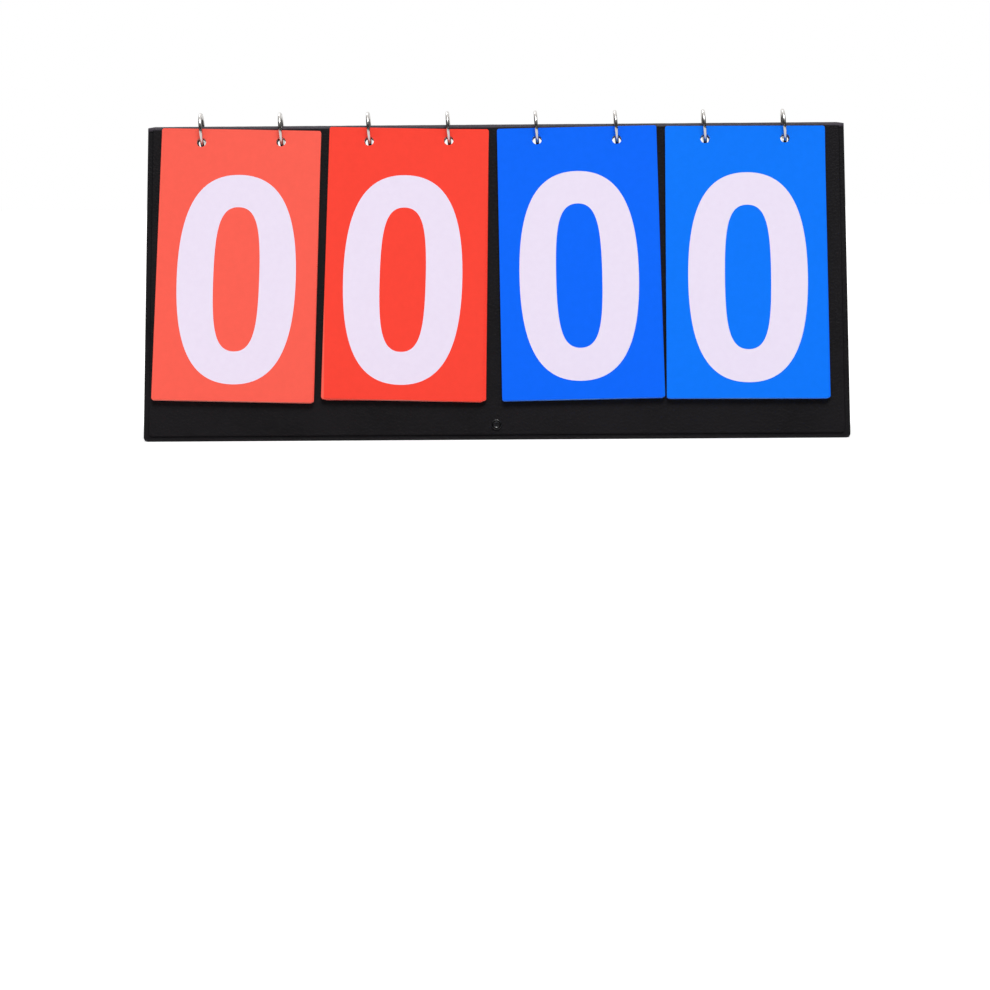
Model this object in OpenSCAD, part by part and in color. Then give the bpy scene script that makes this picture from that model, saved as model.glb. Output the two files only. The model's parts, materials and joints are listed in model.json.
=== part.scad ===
// Tabletop flip scoreboard. Three film-covered boards fold up into a tent, and four
// packs of number cards, ten to a pack, turn over its top edge on pairs of wire rings.
// The origin is on the table under the middle of the tent, the digits face -Y.

/* [Boards] */
// Width of the front, back and base boards
board_w = 385; // [380:1:430]
// Length of the front board, from its bottom edge to the top of the fold
front_len = 178; // [172:1:210]
// Lean of the front and back boards from upright, in degrees
board_lean = 16; // [12:1:20]
// Thickness of the greyboard inside the film
greyboard_t = 1.6; // [1.2:0.1:1.8]
// Thickness of the vinyl film
film_t = 0.3; // [0.2:0.05:0.35]
// Width of the flat welded edge round each board
weld_w = 2.6; // [2:0.2:4]
// Radius of the bottom corners
corner_r = 2.4; // [1:0.2:4]

/* [Fold] */
// Half the gap between the front and back boards where they meet at the fold
fold_gap = 0.2; // [0.1:0.05:0.3]
// Distance that the greyboards stop short of the fold line
fold_free = 1.6; // [1:0.1:3]

/* [Cards] */
// Number of cards in a pack
cards = 10; // [10:1:10]
// Width of a card
card_w = 88; // [80:0.5:90]
// Height of a card
card_h = 153.2; // [130:0.2:158]
// Thickness of a card
card_t = 0.24; // [0.15:0.01:0.25]
// Air between two cards
card_gap = 0.03; // [0.02:0.01:0.04]
// Air between the last card of a pack and the front board
rest_gap = 0.25; // [0.2:0.01:0.3]
// Radius of the card corners
card_r = 1.2; // [0.5:0.1:4]
// Distance from the fold line down to the top edge of a card
card_drop = 0.9; // [0.5:0.1:1.5]
// Distance between the middles of two packs
pack_pitch = 92.7; // [91:0.1:95]
// Shift of all four packs along the board
pack_shift = -1.4; // [-3:0.1:3]

/* [Rings] */
// Diameter of a ring at the middle of its wire
ring_d = 18; // [17.5:0.1:20]
// Diameter of the wire
wire_d = 1.9; // [1.6:0.1:2]
// Diameter of the holes for the rings
hole_d = 5.2; // [5:0.1:6]
// Distance between the two rings of a pack
ring_spacing = 44; // [30:1:60]
// Lean of the rings to the left, in degrees
ring_lean = 4; // [0:0.5:4]
// Air between the two halves of a ring where they close
ring_joint = 0.08; // [0.05:0.01:0.2]

/* [Lip and press stud] */
// Height of the lip at the front of the base board
lip_h = 24; // [20:1:30]
// Thickness of the lip
lip_t = 0.8; // [0.6:0.1:1]
// Diameter of the press stud
stud_d = 5.6; // [5:0.1:6.5]
// Height of the press stud above the bottom edge of the front board
stud_up = 8; // [6:0.5:10]
// Height of the stud's knob behind the front board
knob_h = 1.4; // [1:0.1:1.8]
// Clearance between the knob and its socket, drawn just unsnapped
snap_gap = 0.3; // [0.2:0.05:0.5]

/* [Hidden] */
$fn = 96;
DIGITS = 4;
// The packs hang a little askew, in degrees, and fan out behind their front card
pack_skew = [1.5, 1.5, -0.9, 0.3];
pack_fan = [0.3, 0.8, 0.3, 0.4];
// Running gap between boards that turn past each other
board_gap = 0.2;
// Air between the greyboard and the film round it
liner_gap = 0.05;
// Diameter of the post that rivets the press stud, and the thickness of its metal
post_d = 2.2;
stud_metal = 0.4;

board_t = greyboard_t + 2 * film_t;
fold_r = board_t + fold_gap;
front_down = front_len - fold_r;
// The weld runs at mid thickness, this far off the fold line
weld_mid = fold_r - board_t / 2;
card_pitch = card_t + card_gap;
// The wire crosses a board at a distance off the fold line at this height below it
ring_r = ring_d / 2;
wire_r = wire_d / 2;
pack_out = fold_r + rest_gap + cards * card_pitch - card_gap;
cross_low = sqrt(ring_r * ring_r - pack_out * pack_out);
slant = wire_r * ring_r / cross_low;
hole_down = (cross_low - slant + ring_r + wire_r) / 2;
// Height of the fold line over the table, and its place over the base board
fold_z = front_down * cos(board_lean) - (weld_mid - film_t) * sin(board_lean);
front_reach = (weld_mid + film_t) * cos(board_lean) + front_down * sin(board_lean);
back_down_full = (fold_z + fold_r * sin(board_lean)) / cos(board_lean);
back_reach = fold_r * cos(board_lean) + back_down_full * sin(board_lean);
fold_y = (front_reach - back_reach) / 2;
base_rear = fold_y + back_reach;
back_down = (fold_z + fold_gap * sin(board_lean) - board_t - board_gap) / cos(board_lean);
// A ring leans about a line along Y at the height of the holes, a little off their middle
ring_pivot_z = fold_z - hole_down * cos(board_lean)
    + (fold_gap + pack_out) / 2 * sin(board_lean);
ring_off = 0.05 * ring_lean;
// Distances of the lip's two faces behind the fold line, and its lower end
socket_proud = 0.3;
lip_near = knob_h - fold_gap + snap_gap + socket_proud;
lip_far = lip_near + lip_t;
lip_down = (fold_z - lip_far * sin(board_lean) - board_t - board_gap) / cos(board_lean);
lip_pivot_y = fold_y + lip_far * cos(board_lean) - lip_down * sin(board_lean);
base_front = lip_pivot_y - lip_t - board_gap;
stud_down = front_down - stud_up;

vinyl = "#1c1a1d";
greyboard = "#8f887c";
red = "#ff5240";
blue = "#0078ff";
chrome = "#d8dadd";
enamel = "#151416";

function pack_x(digit) = (digit - (DIGITS - 1) / 2) * pack_pitch + pack_shift;
function card_in(k) = fold_r + rest_gap + (cards - 1 - k) * card_pitch;
function card_skew(digit, k) = pack_skew[digit] - pack_fan[digit] * (1 - cos(k * 40)) / 2;
function ring_x(n) = pack_x(floor(n / 2)) + (n % 2 - 0.5) * ring_spacing;

// The frame of the front board: the fold line is its X axis and -Y points out of it
module on_front() {
    translate([0, fold_y, fold_z]) rotate([-board_lean, 0, 0]) children();
}

// The frame of the back board, where +Y points out of it
module on_back() {
    translate([0, fold_y, fold_z]) rotate([board_lean, 0, 0]) children();
}

// A flat outline drawn in X and Z, as a sheet that starts at y and is t thick
module upright_sheet(y, t) {
    translate([0, y + t, 0]) rotate([90, 0, 0]) linear_extrude(t) children();
}

// A rectangle w wide that hangs from the line y = top down to y = -down,
// with its two lower corners rounded
module hanging_outline(w, top, down, r) {
    union() {
        translate([-w / 2, r - down]) square([w, down - top - r]);
        translate([r - w / 2, -down]) square([w - 2 * r, r]);
        for (side = [-1, 1])
            translate([side * (w / 2 - r), r - down]) circle(r = r);
    }
}

// The same rectangle with all four corners rounded
module rounded_outline(w, top, down, r) {
    union() {
        translate([-w / 2, r - down]) square([w, down - top - 2 * r]);
        translate([r - w / 2, -down]) square([w - 2 * r, down - top]);
        for (side = [-1, 1])
            for (y = [r - down, -top - r])
                translate([side * (w / 2 - r), y]) circle(r = r);
    }
}

// Film welded round a greyboard: two faces from y on, and a flat edge of both films
// together from weld_y on
module film_pocket(y, weld_y, top, down) {
    difference() {
        union() {
            upright_sheet(y, board_t)
                hanging_outline(board_w - 2 * weld_w, top, down - weld_w, corner_r);
            upright_sheet(weld_y, 2 * film_t)
                hanging_outline(board_w, top, down, corner_r);
        }
        upright_sheet(y + film_t, greyboard_t) greyboard_outline(top + fold_free, down, 0);
    }
}

// Outline of the greyboard inside a pocket, drawn smaller by a gap all round
module greyboard_outline(top, down, gap) {
    inset = weld_w + film_t + gap;
    hanging_outline(board_w - 2 * inset, top + gap, down - inset, corner_r);
}

// Bores through a board for the eight rings
module ring_holes(y, t) {
    for (n = [0 : 2 * DIGITS - 1])
        translate([ring_x(n), y + t, -hole_down])
            rotate([90, 0, 0]) cylinder(d = hole_d, h = t);
}

// A round piece whose axis leaves the front board to the rear, at the press stud
module at_stud(y) {
    on_front() translate([0, y, -stud_down]) rotate([-90, 0, 0]) children();
}

module front_cover_film() {
    color(vinyl)
        difference() {
            on_front() difference() {
                film_pocket(-fold_r, -weld_mid - film_t, board_gap, front_down);
                ring_holes(-fold_r - 1, board_t + 2);
            }
            at_stud(-fold_r - 1) cylinder(d = post_d, h = board_t + 2);
        }
}

module front_greyboard() {
    color(greyboard)
        difference() {
            on_front() difference() {
                upright_sheet(-fold_r + film_t + liner_gap, greyboard_t - 2 * liner_gap)
                    greyboard_outline(board_gap + fold_free, front_down, liner_gap);
                ring_holes(-fold_r - 1, board_t + 2);
            }
            at_stud(-fold_r - 1) cylinder(d = post_d + liner_gap, h = board_t + 2);
        }
}

// The film that runs over the top from the front board to the back board
module top_fold_film() {
    color(vinyl)
        translate([-board_w / 2, fold_y, fold_z]) rotate([90, 0, 90])
            linear_extrude(board_w) difference() {
                circle(r = fold_r);
                circle(r = fold_r - film_t);
                for (side = [-1, 1])
                    rotate(side * board_lean) translate([side > 0 ? 0 : -2 * fold_r, -2 * fold_r])
                        square([2 * fold_r, 2 * fold_r]);
                translate([-2 * fold_r, -4 * fold_r]) square([4 * fold_r, 4 * fold_r]);
            }
}

module back_cover_film() {
    color(vinyl)
        on_back() difference() {
            film_pocket(fold_gap, weld_mid - film_t, board_gap, back_down);
            ring_holes(fold_gap - 1, board_t + 2);
        }
}

module back_greyboard() {
    color(greyboard)
        on_back() difference() {
            upright_sheet(fold_gap + film_t + liner_gap, greyboard_t - 2 * liner_gap)
                greyboard_outline(board_gap + fold_free, back_down, liner_gap);
            ring_holes(fold_gap - 1, board_t + 2);
        }
}

// The base board lies flat. Its outline is drawn in X and Y, seen from above.
module base_outline(inset, r) {
    rear = base_rear - inset;
    front = base_front + inset;
    translate([0, rear]) hanging_outline(board_w - 2 * inset, 0, rear - front, r);
}

module base_cover_film() {
    color(vinyl)
        difference() {
            union() {
                linear_extrude(board_t) base_outline(weld_w, corner_r);
                linear_extrude(2 * film_t) base_outline(0, corner_r);
            }
            translate([0, 0, film_t])
                linear_extrude(greyboard_t) base_outline(weld_w + film_t, corner_r);
        }
}

module base_greyboard() {
    color(greyboard)
        translate([0, 0, film_t + liner_gap])
            linear_extrude(greyboard_t - 2 * liner_gap)
                base_outline(weld_w + film_t + liner_gap, corner_r);
}

// The lip stands behind the front board, on the front edge of the base board
module lip_film() {
    color(vinyl)
        difference() {
            on_front() upright_sheet(lip_near, lip_t)
                rounded_outline(board_w - 2 * weld_w, lip_down - lip_h, lip_down, lip_t / 2);
            at_stud(lip_near - 1) cylinder(d = post_d, h = lip_t + 2);
        }
}

// Front of the press stud: an enamelled ring with a hollow, and the post behind it
module stud_cap() {
    color(enamel)
        at_stud(-fold_r - 2 * stud_metal) rotate_extrude()
            polygon([
                [0, stud_metal], [stud_d / 4, stud_metal], [stud_d * 0.33, 0],
                [stud_d * 0.43, 0], [stud_d / 2, stud_metal], [stud_d / 2, 2 * stud_metal],
                [post_d / 2, 2 * stud_metal], [post_d / 2, 2 * stud_metal + board_t],
                [0, 2 * stud_metal + board_t]
            ]);
}

// The knob of the press stud behind the front board
module stud_knob() {
    flange = stud_metal / 2;
    color(chrome)
        at_stud(-fold_gap) rotate_extrude()
            polygon([
                [0, 0], [stud_d / 2, 0], [stud_d / 2, flange], [stud_d * 0.27, 2 * flange],
                [stud_d * 0.24, knob_h / 2], [stud_d * 0.28, knob_h * 0.72],
                [stud_d * 0.22, knob_h], [0, knob_h]
            ]);
}

// The socket's ring on the near face of the lip
module socket_ring() {
    color(chrome)
        at_stud(lip_near - socket_proud) difference() {
            cylinder(d = stud_d, h = socket_proud);
            translate([0, 0, -1]) cylinder(d = stud_d * 0.62, h = socket_proud + 2);
        }
}

// The socket's cap on the far face of the lip, with its post through the lip
module socket_cap() {
    color(enamel)
        at_stud(lip_near) rotate_extrude()
            polygon([
                [0, 0], [post_d / 2, 0], [post_d / 2, lip_t], [stud_d / 2, lip_t],
                [stud_d / 2, lip_t + stud_metal / 2], [stud_d * 0.4, lip_t + 2 * stud_metal],
                [0, lip_t + 2 * stud_metal]
            ]);
}

// A ring of two half circles of wire that close on each other, front and back
module ring(n) {
    half = 180 - ring_joint / ring_r * 180 / PI;
    color(chrome)
        translate([ring_x(n) + ring_off, fold_y, ring_pivot_z]) rotate([0, -ring_lean, 0])
            translate([0, 0, fold_z - ring_pivot_z]) rotate([90, 0, 90])
                for (side = [0, 180])
                    rotate(side + (180 - half) / 2) rotate_extrude(angle = half)
                        translate([ring_r, 0]) circle(d = wire_d);
}

// Card k of a pack, counted from the front, with its two holes level with the rings
module card(digit, k) {
    y = -card_in(k) - card_t;
    color(digit < DIGITS / 2 ? red : blue)
        on_front() difference() {
            translate([pack_x(digit), 0, -hole_down]) rotate([0, card_skew(digit, k), 0])
                translate([0, 0, hole_down]) upright_sheet(y, card_t)
                    rounded_outline(card_w, card_drop, card_drop + card_h, card_r);
            for (n = [2 * digit, 2 * digit + 1])
                translate([ring_x(n), y + 2 * card_t, -hole_down])
                    rotate([90, 0, 0]) cylinder(d = hole_d, h = 3 * card_t);
        }
}

front_cover_film();
front_greyboard();
top_fold_film();
back_cover_film();
back_greyboard();
base_cover_film();
base_greyboard();
lip_film();
stud_cap();
stud_knob();
socket_ring();
socket_cap();
for (n = [0 : 2 * DIGITS - 1])
    ring(n);
for (digit = [0 : DIGITS - 1])
    for (k = [0 : cards - 1])
        card(digit, k);
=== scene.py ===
# %% [markdown]
# # A tabletop flip scoreboard
# Three boards in black vinyl film fold up into a tent. Four packs of number cards hang over its top
# edge on wire rings, so that a card can be turned over to the back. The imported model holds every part
# at its real size and place. This lesson dresses it: film with a leather grain, printed cards,
# bright rings, and the light of a plain studio.

# %% Load the frame
import json
import math

import bmesh
import bpy
from mathutils import Matrix, Vector


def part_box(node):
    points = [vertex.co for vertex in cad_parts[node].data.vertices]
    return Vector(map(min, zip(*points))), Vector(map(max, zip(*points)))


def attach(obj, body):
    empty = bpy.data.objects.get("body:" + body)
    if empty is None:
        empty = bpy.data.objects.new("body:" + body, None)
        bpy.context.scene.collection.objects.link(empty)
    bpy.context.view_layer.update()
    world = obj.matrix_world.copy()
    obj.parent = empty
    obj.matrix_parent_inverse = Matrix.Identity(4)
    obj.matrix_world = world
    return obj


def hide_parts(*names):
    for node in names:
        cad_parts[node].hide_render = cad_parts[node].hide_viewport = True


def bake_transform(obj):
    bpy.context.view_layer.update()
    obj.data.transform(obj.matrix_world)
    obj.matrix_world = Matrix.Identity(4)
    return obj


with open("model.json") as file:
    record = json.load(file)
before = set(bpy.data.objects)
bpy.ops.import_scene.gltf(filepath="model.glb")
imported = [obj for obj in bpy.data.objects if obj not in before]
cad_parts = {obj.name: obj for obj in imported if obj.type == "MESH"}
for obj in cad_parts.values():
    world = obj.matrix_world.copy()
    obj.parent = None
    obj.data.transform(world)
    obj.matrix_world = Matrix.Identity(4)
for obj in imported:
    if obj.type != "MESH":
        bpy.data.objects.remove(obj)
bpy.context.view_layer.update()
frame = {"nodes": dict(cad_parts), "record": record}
MM = 0.001
nodes = frame["nodes"]
joints = {joint["name"]: joint for joint in frame["record"]["behaviour"]["joints"]}

# %% [markdown]
# ## The boards' own frames
# The front and the back board lean against each other at the fold line. Each gets a frame whose X axis
# is that line and whose Z axis runs up the board, so that a board is modelled upright and flat, and is
# then turned into its place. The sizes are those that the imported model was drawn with.

# %% Board frames and sizes
FOLD = Vector(joints["back_board_opens"]["pos_m"])
LEAN = math.radians(16)
FRONT = Matrix.Translation(FOLD) @ Matrix.Rotation(-LEAN, 4, "X")
BACK = Matrix.Translation(FOLD) @ Matrix.Rotation(LEAN, 4, "X")

BOARD_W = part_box("front_cover_film")[1].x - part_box("front_cover_film")[0].x
BOARD_T = 2.2 * MM
BOARD_GAP = 0.2 * MM
FILM_T = 0.3 * MM
WELD_W = 2.6 * MM
CORNER_R = 2.4 * MM
FOLD_R = BOARD_T + BOARD_GAP
WELD_MID = FOLD_R - BOARD_T / 2
FRONT_SLOPE = 178 * MM
FRONT_DOWN = FRONT_SLOPE - FOLD_R
BACK_DOWN = (FOLD.z + BOARD_GAP * math.sin(LEAN) - BOARD_T - BOARD_GAP) / math.cos(LEAN)
print("board width %.1f mm, fold line %.1f mm up" % (BOARD_W / MM, FOLD.z / MM))

# %% [markdown]
# ## Working as by hand
# Every new piece starts as a primitive and is shaped in edit mode. Loading leaves the frame's objects
# selected, so each step first clears the selection. Faces and edges are then picked in code by where
# they are and which way they face, which does what a click does in the window.

# %% Helpers for picking
def clear():
    """Leaves edit mode and deselects every object."""
    if bpy.context.mode != "OBJECT":
        bpy.ops.object.mode_set(mode="OBJECT")
    bpy.ops.object.select_all(action="DESELECT")


def activate(piece):
    """Selects one object alone and makes it the active one."""
    clear()
    piece.select_set(True)
    bpy.context.view_layer.objects.active = piece


def edit(piece):
    """Opens a piece in edit mode with nothing selected."""
    activate(piece)
    bpy.ops.object.mode_set(mode="EDIT")
    bpy.ops.mesh.select_all(action="DESELECT")


def pick(kind, test):
    """Selects only the faces, edges or verts of the open piece that pass the test."""
    bpy.ops.mesh.select_mode(type=kind)
    bpy.ops.mesh.select_all(action="DESELECT")
    shape = bmesh.from_edit_mesh(bpy.context.edit_object.data)
    shape.normal_update()
    count = 0
    if kind == "FACE":
        for face in shape.faces:
            if test(face.calc_center_median(), face.normal):
                face.select_set(True)
                count += 1
    elif kind == "EDGE":
        for edge in shape.edges:
            a, b = (vert.co for vert in edge.verts)
            if test((a + b) / 2, (b - a).normalized()):
                edge.select_set(True)
                count += 1
    else:
        for vert in shape.verts:
            if test(vert.co, vert.normal):
                vert.select_set(True)
                count += 1
    shape.select_flush_mode()
    bmesh.update_edit_mesh(bpy.context.edit_object.data)
    return count


print("ready to pick faces, edges and verts")

# %% [markdown]
# ## From a block to a finished piece
# A board starts as a cuboid. Modifiers are applied at once. A finished piece keeps its place in its
# mesh and leaves its object at the origin, and its large faces are kept flat by weighting its normals.

# %% Helpers for finishing
def block(name, low, high):
    """A cuboid between two corners, which is where a board starts."""
    clear()
    low, high = Vector(low), Vector(high)
    bpy.ops.mesh.primitive_cube_add(size=1, location=(low + high) / 2, scale=high - low)
    bpy.ops.object.transform_apply(location=True, rotation=True, scale=True)
    piece = bpy.context.object
    piece.name = name
    return piece


def apply_modifier(piece, kind, **settings):
    """Adds one modifier to a piece and applies it."""
    activate(piece)
    modifier = piece.modifiers.new(kind.title(), kind)
    for key, value in settings.items():
        setattr(modifier, key, value)
    bpy.ops.object.modifier_apply(modifier=modifier.name)


def cut(piece, tool, operation="DIFFERENCE"):
    """Joins or cuts a piece with another one, which is then deleted."""
    apply_modifier(piece, "BOOLEAN", object=tool, operation=operation, solver="EXACT")
    bpy.data.objects.remove(tool)


def settle(piece, place, angle=35):
    """Moves a finished piece into its place, with its object left at the origin, and smooths it."""
    activate(piece)
    piece.matrix_world = place @ piece.matrix_world
    bpy.ops.object.transform_apply(location=True, rotation=True, scale=True)
    bpy.ops.object.shade_smooth_by_angle(angle=math.radians(angle))
    apply_modifier(piece, "WEIGHTED_NORMAL", keep_sharp=True)
    return piece


def copy_to(master, name, place):
    """A copy with a mesh of its own, in its place."""
    piece = bpy.data.objects.new(name, master.data.copy())
    bpy.context.collection.objects.link(piece)
    piece.data.name = name
    piece.data.transform(place)
    return piece


def dress(piece, body, slot, material, *replaced):
    """Gives a new piece its finish, its body and the parts that it stands for."""
    piece.data.materials.clear()
    piece.data.materials.append(material)
    if body:
        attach(piece, body)
    if replaced:
        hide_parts(*replaced)
    print(piece.name, len(piece.data.polygons), "faces")


print("ready to cut, settle and dress pieces")

# %% [markdown]
# ## Nodes by name
# A finish is a small network of nodes. One helper adds a node and fills its sockets, so that each
# material below reads as a list of what the surface has: colour, grain, gloss.

# %% Helpers for materials
def new_material(name, color, roughness, **sockets):
    """A material with its shader, its constants on the shader's own sockets, and Object coordinates."""
    material = bpy.data.materials.new(name)
    material.use_nodes = True
    tree = material.node_tree
    shader = tree.nodes["Principled BSDF"]
    shader.inputs["Base Color"].default_value = (*color, 1)
    shader.inputs["Roughness"].default_value = roughness
    for key, value in sockets.items():
        shader.inputs[key.replace("_", " ")].default_value = value
    place = tree.nodes.new("ShaderNodeTexCoord").outputs["Object"]
    return material, tree, shader, place


def add(tree, kind, _settings=None, **inputs):
    """Adds one node. Inputs are numbers or other nodes' outputs, by socket name."""
    node = tree.nodes.new("ShaderNode" + kind)
    for key, value in (_settings or {}).items():
        setattr(node, key, value)
    for key, value in inputs.items():
        socket = node.inputs[int(key[1:])] if key[0] == "i" and key[1:].isdigit() else node.inputs[key]
        if isinstance(value, bpy.types.NodeSocket):
            tree.links.new(value, socket)
        else:
            socket.default_value = value
    return node


def ramp(tree, factor, stops):
    """A colour ramp with its own stops: (position, grey or colour)."""
    node = tree.nodes.new("ShaderNodeValToRGB")
    tree.links.new(factor, node.inputs["Fac"])
    points = node.color_ramp.elements
    while len(points) < len(stops):
        points.new(0.5)
    for point, (position, color) in zip(points, stops):
        point.position = position
        point.color = (*color, 1) if isinstance(color, tuple) else (color, color, color, 1)
    return node.outputs["Color"]


def bump(tree, shader, height, distance, strength=1.0, under=None):
    """A relief of that height under the gloss, on top of another relief if there is one."""
    node = add(tree, "Bump", Height=height, Distance=distance, Strength=strength)
    if under:
        tree.links.new(under.outputs["Normal"], node.inputs["Normal"])
    tree.links.new(node.outputs["Normal"], shader.inputs["Normal"])
    return node


print("ready to build materials")

# %% [markdown]
# ## Vinyl film
# The film is calendered with a fine leather grain: small rounded pebbles about a millimetre across
# with creases between them. A cell pattern gives the pebbles, and a second, larger one breaks up their
# rows. The creases sit lower than the crowns, and hands leave faint smudges of gloss.

# %% Vinyl film
GRAIN = 1 / (0.9 * MM)


def vinyl_film(name="vinyl_film", color=(0.0038, 0.003, 0.0043), relief=0.08 * MM, shine=0.18):
    material, tree, shader, place = new_material(name, color, 0.5, Specular_IOR_Level=shine)
    bent = add(tree, "TexNoise", Vector=place, Scale=GRAIN * 0.35, Detail=2.0)
    shift = add(tree, "VectorMath", {"operation": "MULTIPLY_ADD"}, i0=bent.outputs["Color"],
                i1=(0.5 * MM,) * 3, i2=place)
    cells = add(tree, "TexVoronoi", {"feature": "SMOOTH_F1"}, Vector=shift.outputs["Vector"],
                Scale=GRAIN, Smoothness=0.35)
    creases = add(tree, "TexVoronoi", {"feature": "DISTANCE_TO_EDGE"}, Vector=shift.outputs["Vector"],
                  Scale=GRAIN * 0.45)
    pebble = ramp(tree, cells.outputs["Distance"], [(0.0, 1.0), (0.45, 0.75), (0.9, 0.0)])
    fold = ramp(tree, creases.outputs["Distance"], [(0.0, 0.0), (0.12, 0.8), (0.4, 1.0)])
    height = add(tree, "Math", {"operation": "MULTIPLY"}, i0=pebble, i1=fold)
    smudge = add(tree, "TexNoise", Vector=place, Scale=22.0, Detail=4.0, Roughness=0.6)
    gloss = ramp(tree, smudge.outputs["Fac"], [(0.3, 0.44), (0.7, 0.58)])
    tree.links.new(gloss, shader.inputs["Roughness"])
    tone = ramp(tree, smudge.outputs["Fac"], [(0.25, tuple(0.75 * c for c in color)),
                                              (0.75, tuple(1.35 * c for c in color))])
    tree.links.new(tone, shader.inputs["Base Color"])
    wave = add(tree, "TexNoise", Vector=place, Scale=14.0, Detail=1.0)
    slow = bump(tree, shader, wave.outputs["Fac"], 0.6 * MM, 0.6)
    bump(tree, shader, height.outputs["Value"], relief, 1.0, slow)
    return material


VINYL = vinyl_film()
# The fold's film is painted lighter than the face: painted sheen where the film rounds over the top.
VINYL_FOLD_SHEEN = vinyl_film("vinyl_fold_sheen", (0.03, 0.024, 0.034), 0.1 * MM, 0.3)
print("films:", VINYL.name, VINYL_FOLD_SHEEN.name)

# %% [markdown]
# ## Greyboard, enamel and plating
# The boards' stiffening shows only as a thin line inside a punched hole: grey pulp with darker fibres.
# The press stud is enamelled black, with soft mottling under its gloss. The rings are nickel plated:
# nearly a mirror, with a very fine grain.

# %% Greyboard, enamel and plating
def greyboard_pulp():
    material, tree, shader, place = new_material("greyboard_pulp", (0.27, 0.25, 0.21), 0.9)
    fibre = add(tree, "TexNoise", Vector=place, Scale=2200.0, Detail=3.0)
    tone = ramp(tree, fibre.outputs["Fac"], [(0.35, (0.16, 0.15, 0.13)), (0.7, (0.33, 0.31, 0.27))])
    tree.links.new(tone, shader.inputs["Base Color"])
    bump(tree, shader, fibre.outputs["Fac"], 0.05 * MM)
    return material


def black_enamel():
    material, tree, shader, place = new_material("black_enamel", (0.004, 0.004, 0.005), 0.28,
                                                 Coat_Weight=0.7, Coat_Roughness=0.1)
    mottle = add(tree, "TexNoise", Vector=place, Scale=1800.0, Detail=2.0)
    gloss = ramp(tree, mottle.outputs["Fac"], [(0.3, 0.22), (0.7, 0.36)])
    tree.links.new(gloss, shader.inputs["Roughness"])
    bump(tree, shader, mottle.outputs["Fac"], 0.02 * MM)
    return material


def bright_plating():
    material, tree, shader, place = new_material("bright_plating", (0.68, 0.655, 0.63), 0.16, Metallic=1.0)
    fine = add(tree, "TexNoise", Vector=place, Scale=2600.0, Detail=2.0)
    gloss = ramp(tree, fine.outputs["Fac"], [(0.3, 0.1), (0.7, 0.24)])
    tree.links.new(gloss, shader.inputs["Roughness"])
    bump(tree, shader, fine.outputs["Fac"], 0.01 * MM)
    return material


PULP = greyboard_pulp()
ENAMEL = black_enamel()
PLATING = bright_plating()
print("board and metals:", PULP.name, ENAMEL.name, PLATING.name)

# %% [markdown]
# ## Printed card
# A card is stiff white stock, printed solid red or blue and film laminated, which gives it a satin
# gloss. The cut edge shows the white core, tinted by the ink. The faces of a card all point along one
# direction, so the edge is found by comparing the surface direction with it. The two packs of a colour
# get two tints by their place along the board: the outer pack's lighter tint is painted sheen. The ink
# lies a touch unevenly, and the laminate has a very faint orange peel.

# %% Printed card and ink
CARD_NORMAL = FRONT.to_3x3() @ Vector((0, 1, 0))


def printed_card(name, left_color, right_color, border, core):
    material, tree, shader, place = new_material(name, left_color, 0.42, Specular_IOR_Level=0.1)
    along = add(tree, "SeparateXYZ", Vector=place)
    # Painted sheen: the place along the board switches between the two tints, and the lighter one stands
    # for a reflection.
    on_right = add(tree, "Math", {"operation": "GREATER_THAN"}, i0=along.outputs["X"], i1=border)
    tint = add(tree, "Mix", {"data_type": "RGBA"}, Factor=on_right.outputs["Value"],
               A=(*left_color, 1), B=(*right_color, 1))
    ink = add(tree, "TexNoise", Vector=place, Scale=260.0, Detail=5.0, Roughness=0.65)
    cover = ramp(tree, ink.outputs["Fac"], [(0.3, 0.965), (0.7, 1.0)])
    tone = add(tree, "Mix", {"data_type": "RGBA", "blend_type": "MULTIPLY"}, Factor=1.0,
               A=tint.outputs["Result"], B=cover)
    facing = add(tree, "VectorMath", {"operation": "DOT_PRODUCT"},
                 i0=tree.nodes["Texture Coordinate"].outputs["Normal"], i1=tuple(CARD_NORMAL))
    flat = add(tree, "Math", {"operation": "ABSOLUTE"}, i0=facing.outputs["Value"])
    edge = add(tree, "Math", {"operation": "LESS_THAN"}, i0=flat.outputs["Value"], i1=0.5)
    mixed = add(tree, "Mix", {"data_type": "RGBA"}, Factor=edge.outputs["Value"],
                A=tone.outputs["Result"], B=(*core, 1))
    tree.links.new(mixed.outputs["Result"], shader.inputs["Base Color"])
    peel = add(tree, "TexNoise", Vector=place, Scale=700.0, Detail=1.0)
    gloss = ramp(tree, ink.outputs["Fac"], [(0.3, 0.38), (0.7, 0.47)])
    tree.links.new(gloss, shader.inputs["Roughness"])
    bow = add(tree, "TexNoise", Vector=place, Scale=9.0, Detail=0.0)
    slow = bump(tree, shader, bow.outputs["Fac"], 0.8 * MM, 0.5)
    bump(tree, shader, peel.outputs["Fac"], 0.012 * MM, 1.0, slow)
    return material


def white_ink():
    material, tree, shader, place = new_material("white_ink", (0.86, 0.775, 0.935), 0.45,
                                                 Specular_IOR_Level=0.1)
    cover = add(tree, "TexNoise", Vector=place, Scale=320.0, Detail=5.0)
    tone = ramp(tree, cover.outputs["Fac"], [(0.3, (0.85, 0.765, 0.925)), (0.7, (0.868, 0.785, 0.943))])
    tree.links.new(tone, shader.inputs["Base Color"])
    bump(tree, shader, cover.outputs["Fac"], 0.008 * MM)
    return material


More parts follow.
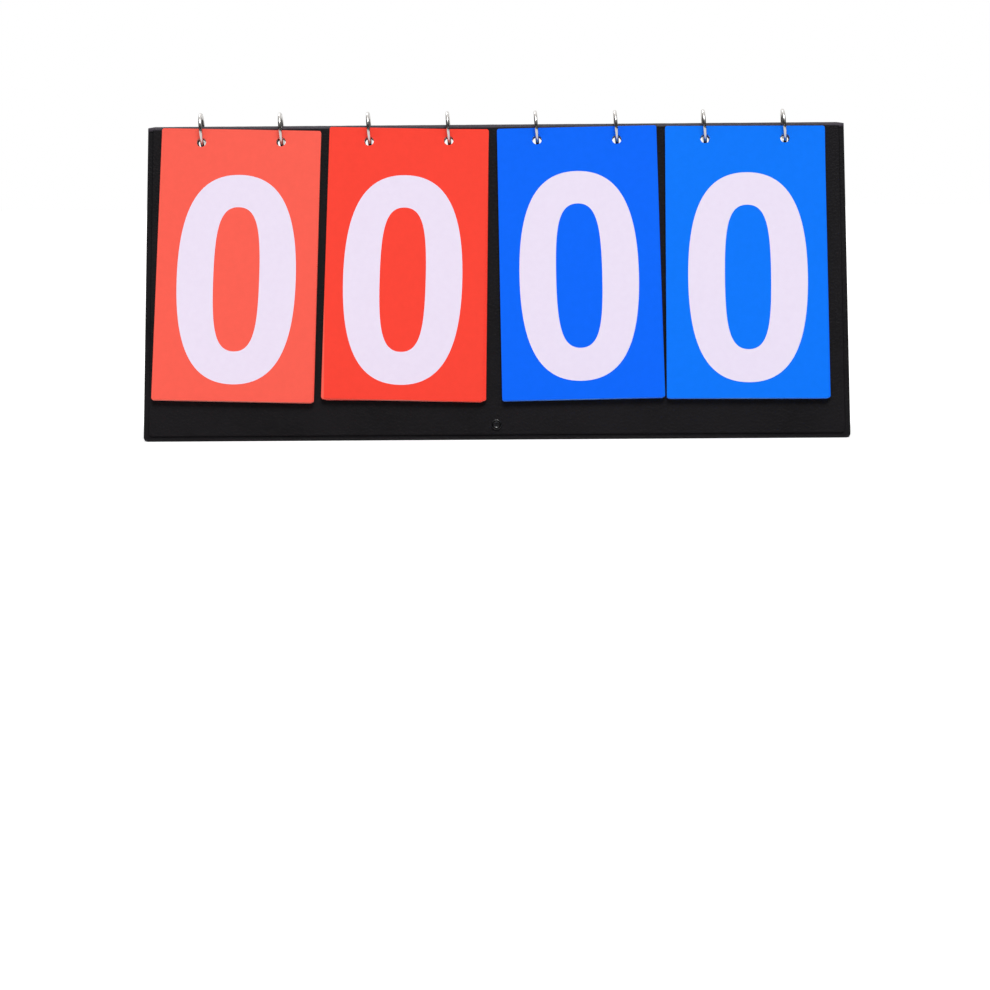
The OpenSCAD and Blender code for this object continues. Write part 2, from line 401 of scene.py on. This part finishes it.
# Painted sheen: the left red and the right blue are the lighter tints, standing for the reflection at the
# board's ends.
RED_SHEEN_BORDER = -94 * MM
BLUE_SHEEN_BORDER = 91 * MM
RED = printed_card("red_card_print", (1.0, 0.123, 0.086), (1.0, 0.061, 0.037), RED_SHEEN_BORDER,
                   (1.0, 0.34, 0.28))
BLUE = printed_card("blue_card_print", (0.0, 0.142, 1.0), (0.0, 0.19, 1.0), BLUE_SHEEN_BORDER,
                    (0.14, 0.38, 1.0))
WHITE_INK = white_ink()
print("prints:", RED.name, BLUE.name, WHITE_INK.name)

# %% [markdown]
# ## Dress the parts that keep their shape
# Most parts of the frame already have the right shape and only need a finish, which goes into their
# material slot.

# %% Finish the frame's own parts
FINISHES = {"vinyl": VINYL, "greyboard": PULP, "black_enamel": ENAMEL, "bright_plating": PLATING,
            "red_card": RED, "blue_card": BLUE}
for row in frame["record"]["subparts"]:
    part = nodes[row["node"]]
    for slot in part.material_slots:
        slot.material = FINISHES[row["material_slot"]]
print("finished", len(nodes), "parts")

# %% [markdown]
# ## Holes for the rings
# Four packs hang side by side, each on two rings. The boards are punched by eight round pins.

# %% Holes for the rings
HOLE_D = 5.2 * MM
HOLE_DOWN = 8.0158 * MM
PACKS = 4
PACK_PITCH = 92.7 * MM
PACK_SHIFT = -1.4 * MM
RING_SPACING = 44 * MM


def pack_x(pack):
    """Middle of a pack along the board, counted from 0."""
    return (pack - (PACKS - 1) / 2) * PACK_PITCH + PACK_SHIFT


def ring_x(ring):
    """Middle of a ring's hole along the board, counted from 0."""
    return pack_x(ring // 2) + (ring % 2 - 0.5) * RING_SPACING


def ring_punch():
    """Eight round pins that punch the holes for the rings."""
    pins = []
    for ring in range(2 * PACKS):
        clear()
        bpy.ops.mesh.primitive_cylinder_add(vertices=48, radius=HOLE_D / 2, depth=8 * MM,
                                            location=(ring_x(ring), 0, -HOLE_DOWN),
                                            rotation=(math.pi / 2, 0, 0))
        pins.append(bpy.context.object)
    clear()
    for pin in pins:
        pin.select_set(True)
    bpy.context.view_layer.objects.active = pins[0]
    bpy.ops.object.join()
    bpy.ops.object.transform_apply(location=True, rotation=True, scale=True)
    return bpy.context.object


print("rings at", [round(ring_x(ring) / MM, 1) for ring in range(2 * PACKS)], "mm")

# %% [markdown]
# ## A board in its film
# A board is a sheet of greyboard between two films, which are welded to each other all round. So it
# has a thin flat edge with the weld's narrow groove, and a thicker middle with a soft shoulder where
# the film climbs over the greyboard. Both are cuboids whose lower corners are bevelled. The groove is
# made by insetting the edge's two faces in steps, and the two shapes are then joined.

# %% Corners, groove and outline
def round_lower_corners(piece, bottom):
    """Rounds the two corners of an upright cuboid at its lower edge."""
    edit(piece)
    pick("EDGE", lambda mid, way: abs(way.y) > 0.99 and mid.z < bottom + 0.01 * MM)
    bpy.ops.mesh.bevel(offset=CORNER_R, segments=8, affect="EDGES")


def weld_groove():
    """Presses the weld's groove into the selected faces."""
    for thickness, depth in ((0.8, 0), (0.25, -0.09), (0.35, 0), (0.25, 0.09)):
        bpy.ops.mesh.inset(thickness=thickness * MM, depth=depth * MM)


def on_outline(point, down):
    """Whether a point lies on the outline of the welded edge."""
    side = BOARD_W / 2
    if abs(abs(point.x) - side) < 0.001 * MM or abs(point.z + down) < 0.001 * MM:
        return True
    corner = Vector((math.copysign(side - CORNER_R, point.x), 0, CORNER_R - down))
    away = Vector((point.x, 0, point.z)) - corner
    return away.z < 0 and away.x * point.x > 0 and abs(away.length - CORNER_R) < 0.06 * MM


print("welded edge", WELD_W / MM, "mm wide, corners", CORNER_R / MM, "mm")

# %% Front and back board
def film_board(name, top, down, face, weld, place, drilled=True):
    """A board in its film between the heights -top and -down, its thick part from face[0] to face[1]."""
    edge = block(name + "_edge", (-BOARD_W / 2, weld[0], -down), (BOARD_W / 2, weld[1], -top))
    round_lower_corners(edge, -down)
    pick("FACE", lambda mid, way: abs(way.y) > 0.99)
    weld_groove()
    pick("EDGE", lambda mid, way: abs(way.y) < 0.01 and (abs(abs(mid.x) - BOARD_W / 2) < 0.9 * CORNER_R
                                                         or mid.z < -down + 0.9 * CORNER_R)
         and min(abs(mid.y - weld[0]), abs(mid.y - weld[1])) < 0.001 * MM
         and on_outline(mid, down))
    bpy.ops.mesh.bevel(offset=0.14 * MM, segments=2, affect="EDGES")

    half = BOARD_W / 2 - WELD_W
    low = -down + WELD_W
    board = block(name, (-half, face[0], low), (half, face[1], -top))
    round_lower_corners(board, low)
    pick("EDGE", lambda mid, way: abs(way.y) < 0.01 and mid.z < -top - 0.01 * MM)
    bpy.ops.mesh.bevel(offset=0.6 * MM, segments=4, affect="EDGES")
    clear()
    cut(board, edge, "UNION")
    if drilled:
        cut(board, ring_punch())
    apply_modifier(board, "BEVEL", width=0.08 * MM, segments=2, limit_method="ANGLE",
                   angle_limit=math.radians(60))
    return settle(board, place)


front = film_board("front_film_board", BOARD_GAP, FRONT_DOWN, (-FOLD_R, -BOARD_GAP),
                   (-WELD_MID - FILM_T, -WELD_MID + FILM_T), FRONT)
dress(front, "front_board", "vinyl", VINYL, "front_cover_film")
back = film_board("back_film_board", BOARD_GAP, BACK_DOWN, (BOARD_GAP, FOLD_R),
                  (WELD_MID - FILM_T, WELD_MID + FILM_T), BACK)
dress(back, "back_board", "vinyl", VINYL, "back_cover_film")

# %% [markdown]
# ## The base board
# The base is the same board laid flat, so it is modelled upright like the others and then tipped back.
# Its welded edge is level with its underside, because it lies on the table.

# %% Base board
base_low, base_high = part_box("base_cover_film")
TIP = Matrix.Translation((0, base_high.y, 0)) @ Matrix.Rotation(-math.pi / 2, 4, "X")
base = film_board("base_film_board", 0, base_high.y - base_low.y, (-BOARD_T, 0), (-2 * FILM_T, 0),
                  TIP, drilled=False)
dress(base, "base_board", "vinyl", VINYL, "base_cover_film")

# %% [markdown]
# ## The fold along the top
# One film runs over the top from the front board to the back board. It is a part of a tube, with the
# grain standing out along its outline, where the light catches it. It starts as a cylinder, the lower
# part is cut off a little inside the two boards, and a cell texture pushes the grain out of it. At
# both ends the film is pressed flat by the weld.

# %% Fold film
FOLD_CUTS = 480
FOLD_TUCK = 0.7 * MM
FOLD_UNDER = 0.05 * MM


def fold_film():
    clear()
    bpy.ops.mesh.primitive_cylinder_add(vertices=96, radius=FOLD_R - FOLD_UNDER, depth=BOARD_W,
                                        rotation=(0, math.pi / 2, 0), end_fill_type="NOTHING")
    bpy.ops.object.transform_apply(location=True, rotation=True, scale=True)
    piece = bpy.context.object
    piece.name = "top_fold"
    for lean in (-LEAN, LEAN):
        edit(piece)
        bpy.ops.mesh.select_all(action="SELECT")
        up_board = Vector((0, -math.sin(lean), math.cos(lean)))
        bpy.ops.mesh.bisect(plane_co=-up_board * FOLD_TUCK, plane_no=up_board, clear_inner=True)
    edit(piece)
    pick("EDGE", lambda mid, way: abs(way.x) > 0.99)
    bpy.ops.mesh.subdivide(number_cuts=FOLD_CUTS)
    for reach, size in ((2.4, 0.94), (1.9, 0.9), (1.3, 0.92), (0.7, 0.97)):
        pick("VERT", lambda at, way: abs(at.x) > BOARD_W / 2 - reach * MM)
        bpy.ops.transform.resize(value=(1, size, size), center_override=(0, 0, 0))
    clear()
    grain = bpy.data.textures.new("film_grain", "VORONOI")
    grain.noise_scale = 1.1 * MM
    apply_modifier(piece, "DISPLACE", texture=grain, texture_coords="LOCAL", strength=-0.12 * MM,
                   mid_level=0.3)
    apply_modifier(piece, "SOLIDIFY", thickness=FILM_T, offset=-1)
    return settle(piece, Matrix.Translation(FOLD), 60)


fold = fold_film()
# The fold wears the lighter film, which is painted sheen and not a lighter vinyl.
dress(fold, None, "vinyl", VINYL_FOLD_SHEEN, "top_fold_film")
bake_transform(fold)

# %% [markdown]
# ## Film hinges
# The same film runs on from board to board: round the back board's foot to the rear edge of the base,
# and from the front edge of the base up into the lip. Each of these two hinges is a strip between two
# welds. It starts as a thin cuboid, gets rows across it, and the rows are drawn out to a bow, as film
# bulges where it is folded.

# %% Film hinges
def film_hinge(name, first, last, bow):
    """A strip of film from one point (y, z) to another, bowed to one side."""
    first, last = (Vector((0, *point)) * MM for point in (first, last))
    run = last - first
    wide = BOARD_W / 2 - WELD_W
    piece = block(name, (-wide, -FILM_T / 2, -run.length), (wide, FILM_T / 2, 0))
    edit(piece)
    pick("EDGE", lambda mid, way: abs(way.z) > 0.99)
    bpy.ops.mesh.subdivide(number_cuts=HINGE_ROWS - 1)
    for row in range(1, HINGE_ROWS):
        height = -run.length * row / HINGE_ROWS
        pick("VERT", lambda at, way: abs(at.z - height) < 0.01 * MM)
        bpy.ops.transform.translate(value=(0, bow * MM * math.sin(math.pi * row / HINGE_ROWS), 0))
    clear()
    tip = math.atan2(run.y, -run.z)
    return settle(piece, Matrix.Translation(first) @ Matrix.Rotation(tip, 4, "X"))


HINGE_ROWS = 8
REAR_HINGE = ((48.5, 2.95), (50.15, 0.35))
LIP_HINGE = ((-46.15, 0.4), (-46.0, 2.8))
for name, body, next_body, (first, last), bow in (
        ("rear_hinge_film", "back_board", "base_board", REAR_HINGE, 0.3),
        ("lip_hinge_film", "base_board", "lip", LIP_HINGE, 0.15)):
    strip = film_hinge(name, first, last, bow)
    dress(strip, None, "vinyl", VINYL)
    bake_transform(strip)

# %% [markdown]
# ## Rings
# A binder ring is two half rings that hinge on a small knuckle and snap shut in a slotted clasp. It
# starts as a torus. At the front the clasp's slot is inset into the wire, and at the back the
# knuckle is swollen out of it. One ring is modelled and copied to the eight joints, whose place and
# axis come from the frame.

# %% Rings
RING_R = 9 * MM
WIRE_R = 0.95 * MM


def ring_master():
    clear()
    bpy.ops.mesh.primitive_torus_add(major_radius=RING_R, minor_radius=WIRE_R, major_segments=120,
                                     minor_segments=20)
    piece = bpy.context.object
    edit(piece)
    pick("FACE", lambda mid, way: mid.x > 0 and abs(mid.y) < 1.25 * MM and way.x > 0.93)
    bpy.ops.mesh.inset(thickness=0.05 * MM)
    bpy.ops.mesh.inset(thickness=0.06 * MM, depth=-0.3 * MM)
    for reach, swell in ((1.2, 0.06), (0.75, 0.07)):
        pick("FACE", lambda mid, way: mid.x < 0 and abs(mid.y) < reach * MM)
        bpy.ops.transform.shrink_fatten(value=swell * MM)
    pick("FACE", lambda mid, way: mid.x < 0 and abs(mid.y) < 0.3 * MM)
    bpy.ops.transform.shrink_fatten(value=-0.2 * MM)
    clear()
    return piece


ring = ring_master()
for number in range(1, 2 * PACKS + 1):
    joint = joints["ring_%d_slides_round" % number]
    axis = Vector(joint["axis"])
    forward = Vector((0, -1, 0))
    turn = Matrix((forward, axis.cross(forward), axis)).transposed().to_4x4()
    piece = copy_to(ring, "wire_ring_%d" % number, Matrix.Translation(joint["pos_m"]) @ turn)
    activate(piece)
    bpy.ops.object.shade_smooth_by_angle(angle=math.radians(40))
    dress(piece, "ring_%d" % number, "bright_plating", PLATING, "ring_%d" % number)
bpy.data.objects.remove(ring)

# %% [markdown]
# ## Numerals
# The numerals are printed, so each is a film of ink a hundredth of a millimetre thick on the face of
# its card. The zero is drawn as two closed curves with four points each, as a letter is. Longer
# handles along the sides keep them nearly straight. The other numerals are set as text in Blender's
# own plain face, thickened and stretched to the same height and weight.

# %% Where the numerals sit
CARD_T = 0.24 * MM
CARD_GAP = 0.03 * MM
REST_GAP = 0.25 * MM
CARD_DROP = 0.9 * MM
CARD_H = 153.2 * MM
CARDS = 10
PACK_SKEW = (1.5, 1.5, -0.9, 0.3)
PACK_FAN = (0.3, 0.8, 0.3, 0.4)
INK = 0.01 * MM
SINK = 0.002 * MM
NUMERAL_W, NUMERAL_H = 65.4 * MM, 118 * MM
COUNTER_W, COUNTER_H = 25.3 * MM, 81.3 * MM
NUMERAL_LOW = 7.9 * MM
PRINT_SHIFT = ((0.0, -0.4), (-1.3, -1.3), (-0.5, 0.4), (0.8, -1.0))


def card_frame(pack, card):
    """Where the middle of a numeral sits on the face of a card, turned as the card hangs."""
    depth = FOLD_R + REST_GAP + (CARDS - 1 - card) * (CARD_T + CARD_GAP) + CARD_T
    skew = PACK_SKEW[pack] - PACK_FAN[pack] * (1 - math.cos(math.radians(40 * card))) / 2
    across, up = (shift * MM for shift in PRINT_SHIFT[pack])
    middle = HOLE_DOWN - CARD_DROP - CARD_H / 2 - NUMERAL_LOW + up
    return (FRONT @ Matrix.Translation((pack_x(pack), SINK - depth, -HOLE_DOWN))
            @ Matrix.Rotation(math.radians(skew), 4, "Y") @ Matrix.Translation((across, 0, middle)))


print("numerals", round(NUMERAL_W / MM, 1), "by", round(NUMERAL_H / MM, 1), "mm")

# %% Shapes of the numerals
def oval(curve, width, height, side, cap):
    """A closed curve with four points. Side and cap are how far the handles reach, from 0 to 1."""
    spline = curve.splines.new("BEZIER")
    spline.bezier_points.add(3)
    spline.use_cyclic_u = True
    a, b = width / 2, height / 2
    for point, (x, y) in zip(spline.bezier_points, ((a, 0), (0, b), (-a, 0), (0, -b))):
        point.co = (x, y, 0)
        along = Vector((0, side * b, 0)) if x else Vector((cap * a, 0, 0))
        if x < 0 or y > 0:
            along = -along
        point.handle_left = point.co - along
        point.handle_right = point.co + along


def ink_shape(data, name):
    """Turns a flat curve or text into a thin, flat film of ink as a mesh."""
    data.extrude = (INK + SINK) / 2
    shape = bpy.data.objects.new(name, data)
    bpy.context.collection.objects.link(shape)
    activate(shape)
    bpy.ops.object.convert(target="MESH")
    return bpy.context.object


def zero_master():
    curve = bpy.data.curves.new("zero", "CURVE")
    curve.dimensions = "2D"
    curve.fill_mode = "BOTH"
    curve.resolution_u = 24
    oval(curve, NUMERAL_W, NUMERAL_H, 0.72, 0.64)
    oval(curve, COUNTER_W, COUNTER_H, 0.68, 0.84)
    return ink_shape(curve, "zero")


def digit_master(digit):
    text = bpy.data.curves.new("digit", "FONT")
    text.body = str(digit)
    text.size = 160 * MM
    text.offset = 4.5 * MM
    text.resolution_u = 8
    return ink_shape(text, "digit_%d" % digit)


def stand_up(piece, width, height):
    """Scales a flat shape to its size about its middle and stands it up to face -Y."""
    mesh = piece.data
    low = [min(v.co[i] for v in mesh.vertices) for i in range(3)]
    high = [max(v.co[i] for v in mesh.vertices) for i in range(3)]
    middle = Vector(low).lerp(Vector(high), 0.5)
    size = (width / (high[0] - low[0]), height / (high[1] - low[1]), 1)
    activate(piece)
    piece.matrix_world = (Matrix.Rotation(math.pi / 2, 4, "X") @ Matrix.Diagonal((*size, 1))
                          @ Matrix.Translation(-middle))
    bpy.ops.object.transform_apply(location=True, rotation=True, scale=True)
    edit(piece)
    bpy.ops.mesh.select_all(action="SELECT")
    bpy.ops.mesh.remove_doubles(threshold=0.001 * MM)
    bpy.ops.mesh.normals_make_consistent(inside=False)
    clear()


print("ready to print", CARDS, "numerals")

# %% Print the numerals
NARROW = {1: 34 * MM, 7: 62 * MM}
for digit in range(CARDS):
    master = digit_master(digit) if digit else zero_master()
    stand_up(master, NARROW.get(digit, NUMERAL_W), NUMERAL_H)
    for pack in range(PACKS):
        body = "pack_%d" % (pack + 1) if digit else "front_card_%d" % (pack + 1)
        film = copy_to(master, "numeral_%d_%d" % (pack + 1, digit), card_frame(pack, digit)
                       @ Matrix.Translation((0, -(INK + SINK) / 2, 0)))
        dress(film, body, "red_card" if pack < 2 else "blue_card", WHITE_INK)
    bpy.data.objects.remove(master)

# %% [markdown]
# ## The press stud
# A press stud of this kind is a rolled ring of enamelled metal round a hollow. A cylinder is inset
# twice and its rims are bevelled, so that the ring is round and the hollow has a soft floor.

# %% Press stud
STUD_D = 5.6 * MM
STUD_T = 0.8 * MM
STUD_DOWN = FRONT_DOWN - 8 * MM


def stud_front():
    clear()
    bpy.ops.mesh.primitive_cylinder_add(vertices=64, radius=STUD_D / 2, depth=STUD_T,
                                        rotation=(math.pi / 2, 0, 0),
                                        location=(0, -FOLD_R - STUD_T / 2, -STUD_DOWN))
    bpy.ops.object.transform_apply(location=True, rotation=True, scale=True)
    piece = bpy.context.object
    piece.name = "stud_front"
    outer = -FOLD_R - STUD_T
    edit(piece)
    pick("FACE", lambda mid, way: way.y < -0.99)
    bpy.ops.mesh.inset(thickness=STUD_D * 0.24)
    bpy.ops.mesh.inset(thickness=0.2 * MM, depth=-0.55 * MM)
    bpy.ops.mesh.inset(thickness=0.4 * MM, depth=-0.12 * MM)
    pick("EDGE", lambda mid, way: mid.y < outer + 0.001 * MM)
    bpy.ops.mesh.bevel(offset=0.36 * MM, segments=5, affect="EDGES")
    clear()
    return settle(piece, FRONT)


stud = stud_front()
dress(stud, "front_board", "black_enamel", ENAMEL, "stud_cap")

# %% [markdown]
# ## Studio
# The scoreboard stands on a pale table in front of a white background. A broad, soft lamp hangs high
# in front, a weaker one grazes the fold from behind, and the room gives the rest, at a level at which
# a colour renders about as it is written.
# The world is white where the camera sees it. Metal and film mirror another one: bright above and
# behind, darker towards the front, with a dark panel at each side that draws the wires' outlines.

# %% Table
TABLE_SIZE = 12
TABLE_GLOW = 0.4
clear()
bpy.ops.mesh.primitive_plane_add(size=TABLE_SIZE)
table = bpy.context.object
table.name = "table_top"
material, tree, shader, place = new_material("table_white", (0.86, 0.86, 0.86), 0.9, Specular_IOR_Level=0.0)
path = tree.nodes.new("ShaderNodeLightPath")
glow = add(tree, "Emission", Strength=TABLE_GLOW)
black = add(tree, "Emission", Strength=0.0)
seen = add(tree, "MixShader", Fac=path.outputs["Is Camera Ray"], i1=black.outputs["Emission"],
           i2=glow.outputs["Emission"])
both = add(tree, "AddShader", i0=shader.outputs["BSDF"], i1=seen.outputs["Shader"])
tree.links.new(both.outputs["Shader"], tree.nodes["Material Output"].inputs["Surface"])
table.data.materials.append(material)
print("table", TABLE_SIZE, "m wide")

# %% World
ROOM_LIGHT = 0.5
world = bpy.data.worlds.new("studio")
bpy.context.scene.world = world
world.use_nodes = True
tree = world.node_tree
tree.nodes.clear()
path = tree.nodes.new("ShaderNodeLightPath")
way = tree.nodes.new("ShaderNodeTexCoord").outputs["Generated"]
split = add(tree, "SeparateXYZ", Vector=way)
tilt = add(tree, "Math", {"operation": "MULTIPLY_ADD"}, i0=split.outputs["Y"], i1=0.55,
           i2=split.outputs["Z"])
mirrored = ramp(tree, tilt.outputs["Value"], [(0.0, 0.05), (0.35, 0.28), (0.75, 1.0)])
room = add(tree, "Background", Color=(1, 1, 1, 1), Strength=ROOM_LIGHT)
aside = add(tree, "Math", {"operation": "ABSOLUTE"}, i0=split.outputs["X"])
panels = ramp(tree, aside.outputs["Value"], [(0.45, 1.0), (0.85, 0.12)])
dimmed = add(tree, "Mix", {"data_type": "RGBA", "blend_type": "MULTIPLY"}, Factor=1.0,
             A=mirrored, B=panels)
shine = add(tree, "Background", Color=dimmed.outputs["Result"], Strength=1.0)
white = add(tree, "Background", Color=(1, 1, 1, 1), Strength=1.0)
lit = add(tree, "MixShader", Fac=path.outputs["Is Glossy Ray"], i1=room.outputs["Background"],
          i2=shine.outputs["Background"])
seen_or_clear = add(tree, "Math", {"operation": "MAXIMUM"}, i0=path.outputs["Is Camera Ray"],
                    i1=path.outputs["Is Transmission Ray"])
final = add(tree, "MixShader", Fac=seen_or_clear.outputs["Value"], i1=lit.outputs["Shader"],
            i2=white.outputs["Background"])
sky = tree.nodes.new("ShaderNodeOutputWorld")
tree.links.new(final.outputs["Shader"], sky.inputs["Surface"])
print("room light", ROOM_LIGHT)

# %% Lamps
KEY_FROM, KEY_LIGHT = Vector((0.08, -0.62, 1.4)), 1.68
RIM_FROM, RIM_LIGHT = Vector((-0.5, 0.9, 1.2)), 0.5


def soft_sun(name, source, strength, spread):
    """A lamp so far away that it lights everything evenly, with soft shadows."""
    lamp = bpy.data.lights.new(name, "SUN")
    lamp.energy = strength
    lamp.angle = math.radians(spread)
    holder = bpy.data.objects.new(name, lamp)
    bpy.context.collection.objects.link(holder)
    holder.rotation_euler = source.to_track_quat("Z", "Y").to_euler()
    print(name, strength)


soft_sun("key_lamp", KEY_FROM, KEY_LIGHT, 24)
soft_sun("rim_lamp", RIM_FROM, RIM_LIGHT, 20)

# %% [markdown]
# ## Camera
# The camera stands almost two metres away and barely above the table, which is what the photograph's
# nearly parallel edges and the thin line of the fold over the cards give. It looks a little below the
# scoreboard, because the photograph has it in the upper half, and it is tipped by half a degree.

# %% Camera
CAMERA_AT = Vector((25.7, -1898.3, 164.0)) * MM
LOOK_AT = Vector((-1.8, 0, -35.5)) * MM
ROLL = math.radians(-0.43)
camera = bpy.data.cameras.new("camera")
camera.lens = 123.9
camera.sensor_width = 36
camera.clip_start, camera.clip_end = 0.05, 50
holder = bpy.data.objects.new("camera", camera)
bpy.context.collection.objects.link(holder)
holder.matrix_world = (Matrix.Translation(CAMERA_AT)
                       @ (LOOK_AT - CAMERA_AT).to_track_quat("-Z", "Y").to_matrix().to_4x4()
                       @ Matrix.Rotation(ROLL, 4, "Z"))
bpy.context.scene.camera = holder
bpy.context.scene.view_settings.view_transform = "Standard"
print("camera", round(CAMERA_AT.length, 2), "m away")

# %% Finish
clear()
